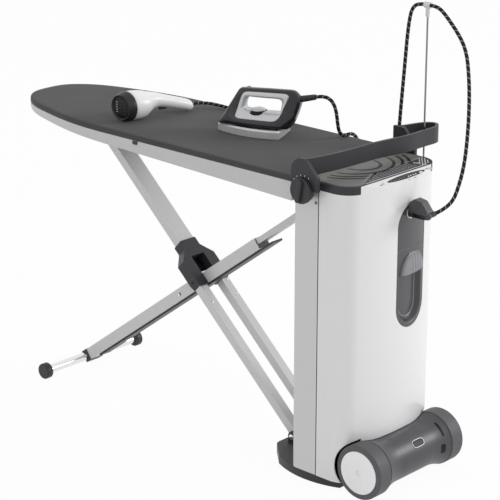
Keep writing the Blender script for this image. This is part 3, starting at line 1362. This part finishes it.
def barrel_place(y, angle, reach):
    """Places round the axle: x = reach * cos a, z = reach * sin a, each at its own y."""
    places = np.stack([reach * np.cos(angle), y + 0 * angle, reach * np.sin(angle)], axis=-1)
    return places + AXLE


def settle(piece, node, gap):
    """Lays a piece on a CAD node's surface, a gap above it."""
    wrap = piece.modifiers.new("settle", "SHRINKWRAP")
    wrap.target = frame["nodes"][node]
    wrap.wrap_method = "NEAREST_SURFACEPOINT"
    wrap.wrap_mode = "ABOVE_SURFACE"
    wrap.offset = gap * MM
    layers = bpy.context.evaluated_depsgraph_get()
    laid = bpy.data.meshes.new_from_object(piece.evaluated_get(layers))
    piece.modifiers.clear()
    piece.data = laid


def barrel_patch(name, y_range, angle_range):
    """A rounded dark patch: a square grid pressed into a superellipse and laid on the barrel."""
    a, b = np.meshgrid(*2 * [np.linspace(-1, 1, PATCH_STEPS)])
    oval = np.maximum((np.abs(a) ** 4 + np.abs(b) ** 4) ** 0.25, 1e-9)
    press = np.maximum(np.abs(a), np.abs(b)) / oval
    y, angle = (
        (low + high) / 2 + share * press * (high - low) / 2
        for share, (low, high) in ((a, y_range), (b, angle_range))
    )
    places = barrel_place(y, np.radians(angle), BARREL_REACH + 3)
    patch = surface(name, places * MM, dark_trim, closed_round=False)
    settle(patch, "axle_housing", PATCH_GAP)
    return thicken(patch, 0.6, (1, 0, 0.3))


def outlet_rim():
    """The rim round the lead's outlet: place = line + r * (cos t * outward + sin t * side)."""
    angle = np.linspace(0, 2 * math.pi, RIM_STEPS, endpoint=False)
    y = RIM_Y[0] + RIM_Y[1] * signed_power(np.cos(angle), 2 / RIM_POWER)
    turn = np.radians(RIM_ANGLE[0] + RIM_ANGLE[1] * signed_power(np.sin(angle), 2 / RIM_POWER))
    line = barrel_place(y, turn, BARREL_REACH + RIM_LIFT)
    outward = unit((line - AXLE) * np.array((1, 0, 1)))
    side = unit(np.cross(unit(np.roll(line, -1, axis=0) - np.roll(line, 1, axis=0)), outward))
    places = closed(rings(line, outward, side, RIM_RADIUS, BEAD_AROUND))
    return surface("lead_outlet_rim", places * MM, silver_finish)


carry("tower", "dark_plastic", *(barrel_patch(name, *ranges) for name, ranges in PATCHES.items()))
carry("tower", "dark_plastic", outlet_rim())

# Socket screws on the legs' bars and the profile: head, rim and socket turned in one profile
SCREW_PROFILE = [(-0.5, 4.2), (0.6, 4.2), (1.2, 3.6), (1.3, 2.2), (0.2, 2), (0.1, 0)]
BAR_TOP = (0.6751, 0, 0.7377)
BAR_SCREWS = [(-453.9, 387.6), (-416.8, 353.6)]
BAR_SCREW_Y = 50
PROFILE_SCREW_Y = 182.6


def socket_screw(name, place, axis, body, finish):
    """A round screw head with a socket."""
    carry(body, "chrome", turned(name, SCREW_PROFILE, place, axis, finish, around=32))


for index, (x, z) in enumerate(BAR_SCREWS):
    for side, y in (("far", BAR_SCREW_Y), ("near", -BAR_SCREW_Y)):
        name = "%s_bar_screw_%d" % (side, index)
        socket_screw(name, (x, y, z), BAR_TOP, "main_leg", finishes["chrome"])
for side, way in (("near", -1), ("far", 1)):
    place = (83, way * PROFILE_SCREW_Y, 785)
    socket_screw(side + "_profile_screw", place, (0, way, 0), "tower", dark_trim)

# Pin in the support leg's hole, and the dark web between the yoke's arms
HOLE_PIN_PLACE = (-579, -24, 328.4)
HOLE_PIN_PROFILE = [(-2, 0), (-2, 4), (0.8, 4), (1.2, 3.2), (1.2, 0)]
MAIN_PIVOT = np.array((-95.5, 0, 42))
LEG_RUN = np.array((-0.7377, 0, 0.6751))
WEB_START = 557
WEB_STOP = 601
WEB_HALF = 25
WEB_SINK = 15
WEB_BOW = 3
WEB_STEPS = 12


def yoke_web():
    """The web: pivot + reach * leg's run + y, sunk by sink - bow * (y / half)^2 below the leg's line."""
    reach = np.linspace(WEB_START, WEB_STOP, WEB_STEPS)
    reach, y = np.meshgrid(reach, np.linspace(-WEB_HALF, WEB_HALF, WEB_STEPS), indexing="ij")
    sink = WEB_BOW * (y / WEB_HALF) ** 2 - WEB_SINK
    places = (
        MAIN_PIVOT + reach[..., None] * LEG_RUN + y[..., None] * np.array(ALONG_WIDTH)
        + sink[..., None] * np.array(BAR_TOP)
    )
    return thicken(surface("yoke_web", places * MM, dark_trim, closed_round=False), 2, BAR_TOP)


hole_pin = turned("leg_hole_pin", HOLE_PIN_PROFILE, HOLE_PIN_PLACE, (0, -1, 0), steamer_white, around=32)
carry("support_leg", "chrome", hole_pin)
carry("main_leg", "dark_plastic", yoke_web())

# Setting marks on the frame, round the height knob
KNOB_PLACE = np.array((62, -210, 820))
KNOB_MARK_REACH = 39
mark_turn = np.radians([62, 82, 102, 122, 142])
mark_run = np.stack([np.cos(mark_turn), 0 * mark_turn, np.sin(mark_turn)], axis=-1)
knob_marks = studs(
    "knob_setting_marks", KNOB_PLACE + KNOB_MARK_REACH * mark_run, UP, TOWARDS_BOARD, (4.5, 1.8), 0.4,
    light_trim, around=10,
)
carry("head", "dark_plastic", knob_marks)

# Stage: the floor's half width, the share of plain white that the camera sees in it, the world's strength,
# and the lamps: name, place, target, size, power
FLOOR_HALF = 12
FLOOR_WHITE = 0.9
FLOOR_SHARE = 0.95
WORLD_STRENGTH = 0.74
LAMPS = [
    ("key_light", (2.9, 3.3, 2.3), (0.1, 0, 0.4), 1.6, 88),
    ("side_light", (-1.0, -4.2, 2.6), (-0.4, 0, 0.6), 2.0, 8),
]


def white_for_camera(tree, share):
    """How much of a plain white the camera, mirrors and glass see here, from 0 to the share."""
    path = tree.nodes.new("ShaderNodeLightPath")
    seen = combine(tree, "MAXIMUM", path.outputs["Is Camera Ray"], path.outputs["Is Glossy Ray"])
    seen = combine(tree, "MAXIMUM", seen, path.outputs["Is Transmission Ray"])
    return combine(tree, "MULTIPLY", seen, share)


def place_floor():
    """A plain pale floor that keeps the object's soft shadow."""
    material, tree, shader = new_material("floor_finish")
    set_inputs(shader, {"Base Color": (FLOOR_WHITE, FLOOR_WHITE, FLOOR_WHITE, 1), "Roughness": 1.0})
    glow = tree.nodes.new("ShaderNodeEmission")
    mix = tree.nodes.new("ShaderNodeMixShader")
    output = tree.nodes["Material Output"]
    tree.links.new(white_for_camera(tree, FLOOR_SHARE), mix.inputs["Fac"])
    tree.links.new(shader.outputs["BSDF"], mix.inputs[1])
    tree.links.new(glow.outputs["Emission"], mix.inputs[2])
    tree.links.new(mix.outputs["Shader"], output.inputs["Surface"])
    corners = [(-FLOOR_HALF, -FLOOR_HALF, 0), (FLOOR_HALF, -FLOOR_HALF, 0)]
    corners += [(FLOOR_HALF, FLOOR_HALF, 0), (-FLOOR_HALF, FLOOR_HALF, 0)]
    mesh = bpy.data.meshes.new("floor")
    mesh.from_pydata(corners, [], [(0, 1, 2, 3)])
    place_mesh("floor", mesh, material)


def place_lamp(name, place, target, size, power):
    """A soft square light that points at a target."""
    data = bpy.data.lights.new(name, "AREA")
    data.size = size
    data.energy = power
    lamp = bpy.data.objects.new(name, data)
    bpy.context.scene.collection.objects.link(lamp)
    lamp.location = place
    lamp.rotation_euler = (Vector(target) - Vector(place)).to_track_quat("-Z", "Y").to_euler()


def place_world():
    """Even pale surroundings, white where the camera, mirrors and glass see them."""
    world = bpy.data.worlds.new("surroundings")
    world.use_nodes = True
    tree = world.node_tree
    background = tree.nodes["Background"]
    brighter = white_for_camera(tree, 1 - WORLD_STRENGTH)
    tree.links.new(combine(tree, "ADD", brighter, WORLD_STRENGTH), background.inputs["Strength"])
    set_inputs(background, {"Color": (1, 1, 1, 1)})
    bpy.context.scene.world = world


place_floor()
place_world()
for lamp in LAMPS:
    place_lamp(*lamp)
bpy.context.scene.view_settings.view_transform = "Standard"
